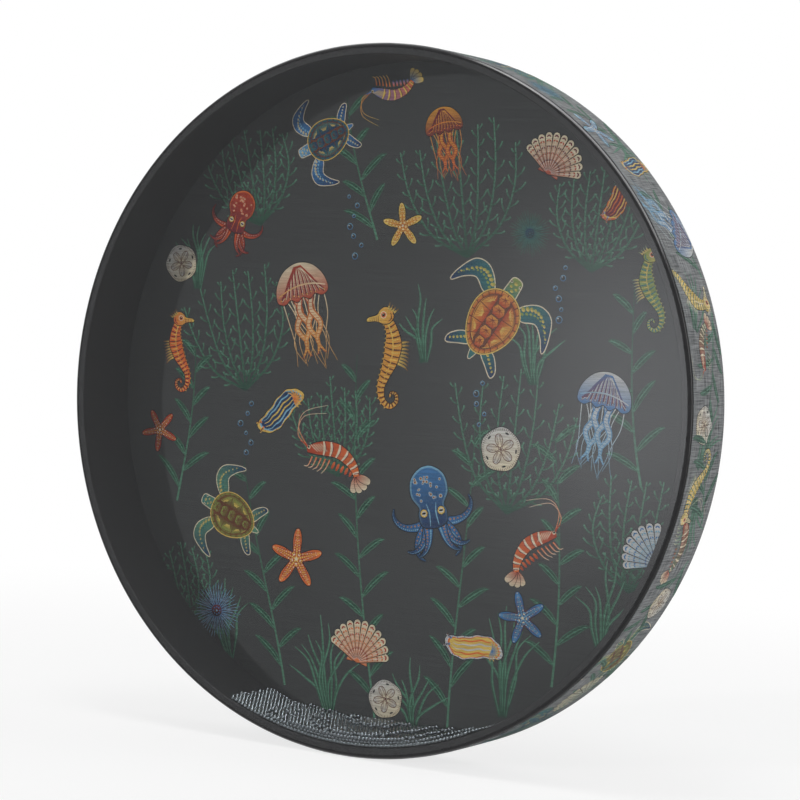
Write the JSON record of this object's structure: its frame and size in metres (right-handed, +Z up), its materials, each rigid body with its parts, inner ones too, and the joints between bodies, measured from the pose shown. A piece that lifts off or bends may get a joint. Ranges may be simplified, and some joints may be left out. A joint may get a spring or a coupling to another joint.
{
  "type": "ocean drum",
  "caption": "Shallow round frame drum with a clear front head, a printed rear head, a printed wrap and loose steel balls between the heads.",
  "frame": {"origin": "centre of the drum, on its axis and midway between its two heads", "axes": "+Z up as the drum stands on its rim, +Y along the drum's axis from the clear front head to the printed rear head, +X to the right as seen from the front"},
  "size_m": [0.5586, 0.0636, 0.5586],
  "materials": {
    "fibre_shell": "matt black stained fibre",
    "clear_film": "clear, slightly hazy film",
    "rear_film": "clear film over the print",
    "printed_cloth": "charcoal cloth with a coloured print",
    "printed_wrap": "grey woven covering with a coloured print",
    "adhesive": "cured adhesive",
    "ball_steel": "polished steel"
  },
  "bodies": {
    "drum": {"shell": "fibre_shell", "front_head": "clear_film", "rear_head": "rear_film", "front_bond": "adhesive", "rear_bond": "adhesive", "rear_cloth": "printed_cloth", "outer_wrap": "printed_wrap"},
    "balls": {"steel_balls": "ball_steel"}
  },
  "joints": [
    {"name": "balls_roll", "type": "hinge", "parent": "drum", "child": "balls", "pos_m": [0, 0, 0], "axis": [0, 1, 0], "continuous": true}
  ]
}
